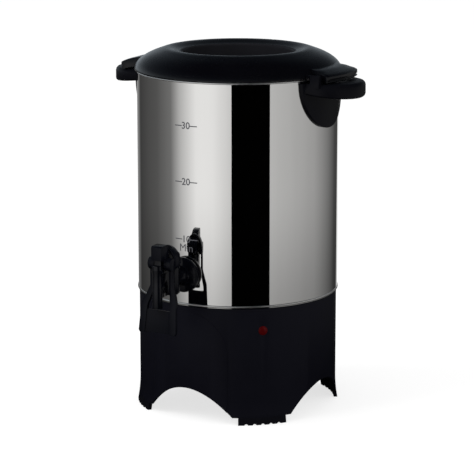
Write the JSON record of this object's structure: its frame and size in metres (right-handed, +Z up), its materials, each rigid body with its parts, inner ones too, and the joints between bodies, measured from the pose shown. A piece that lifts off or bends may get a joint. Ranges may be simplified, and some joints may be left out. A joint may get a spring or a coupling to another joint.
{
  "type": "coffee urn",
  "caption": "Percolating coffee urn: polished steel tank on a black footed base, lift-off domed lid, two side grips and a cup-operated lever tap with a spring valve.",
  "frame": {"origin": "on the tank's axis, at the level of the feet", "axes": "+Z up along the tank's axis; the tap points to -Y; the handles are on +X and -X; the power inlet is on +Y"},
  "size_m": [0.265, 0.2468, 0.3457],
  "materials": {
    "black_plastic": "fine-textured moulded plastic",
    "lid_plastic": "satin moulded plastic",
    "tap_plastic": "smooth moulded plastic",
    "rubber": "matt",
    "silicone": "smooth",
    "steel": "polished",
    "sheet_steel": "plain zinc-plated sheet",
    "fastener": "bright",
    "aluminium": "satin",
    "element": "heat-darkened",
    "bakelite": "moulded",
    "ceramic": "glazed",
    "red_lens": "clear red",
    "lamp": "neon lamp",
    "brass": "plated"
  },
  "bodies": {
    "urn": {"base_housing": "black_plastic", "foot_pads": "rubber", "base_cover": "sheet_steel", "cover_screws": "fastener", "tank": "steel", "tie_rod": "fastener", "tie_nut": "fastener", "heater_plate": "aluminium", "heating_element": "element", "thermostat": "bakelite", "thermal_fuse": "ceramic", "heat_shield": "sheet_steel", "indicator_lens": "red_lens", "indicator_lamp": "lamp", "power_inlet": "black_plastic", "inlet_pins": "brass", "inlet_screws": "fastener", "handle_right": "black_plastic", "handle_left": "black_plastic", "handle_screws": "fastener", "tap_gasket": "rubber", "tap_body": "tap_plastic", "tap_inner_washer": "silicone", "tap_nut": "fastener", "tap_bonnet": "tap_plastic", "tap_spring": "fastener"},
    "tap_handle": {"tap_lever": "tap_plastic", "tap_pivot_pin": "fastener"},
    "tap_valve": {"tap_stem": "fastener", "tap_seat_cup": "silicone"},
    "seal": {"lid_seal": "silicone"},
    "lid": {"lid": "lid_plastic"},
    "percolator": {"pump_tube": "aluminium", "filter_basket": "aluminium", "basket_spreader": "aluminium"}
  },
  "joints": [
    {"name": "lever_tilt", "type": "hinge", "parent": "urn", "child": "tap_handle", "pos_m": [0, -0.1345, 0.16], "axis": [1, 0, 0], "range_deg": [0, 16], "stiffness_Nm_per_rad": 0.4, "springref_deg": -17.19},
    {"name": "valve_lift", "type": "slide", "parent": "urn", "child": "tap_valve", "axis": [0, 0, 1], "range_m": [0, 0.0043], "deforming": ["tap_spring"]},
    {"name": "lid_lift", "type": "slide", "parent": "urn", "child": "seal", "axis": [0, 0, 1], "range_m": [0, 0.12]},
    {"name": "lid_turn", "type": "hinge", "parent": "seal", "child": "lid", "pos_m": [0, 0, 0.33], "axis": [0, 0, 1], "range_deg": [0, 22]},
    {"name": "percolator_lift", "type": "slide", "parent": "urn", "child": "percolator", "axis": [0, 0, 1], "range_m": [0, 0.005]}
  ],
  "couplings": [
    {"joint": "valve_lift", "follows": "lever_tilt", "m_per_rad": 0.015}
  ]
}
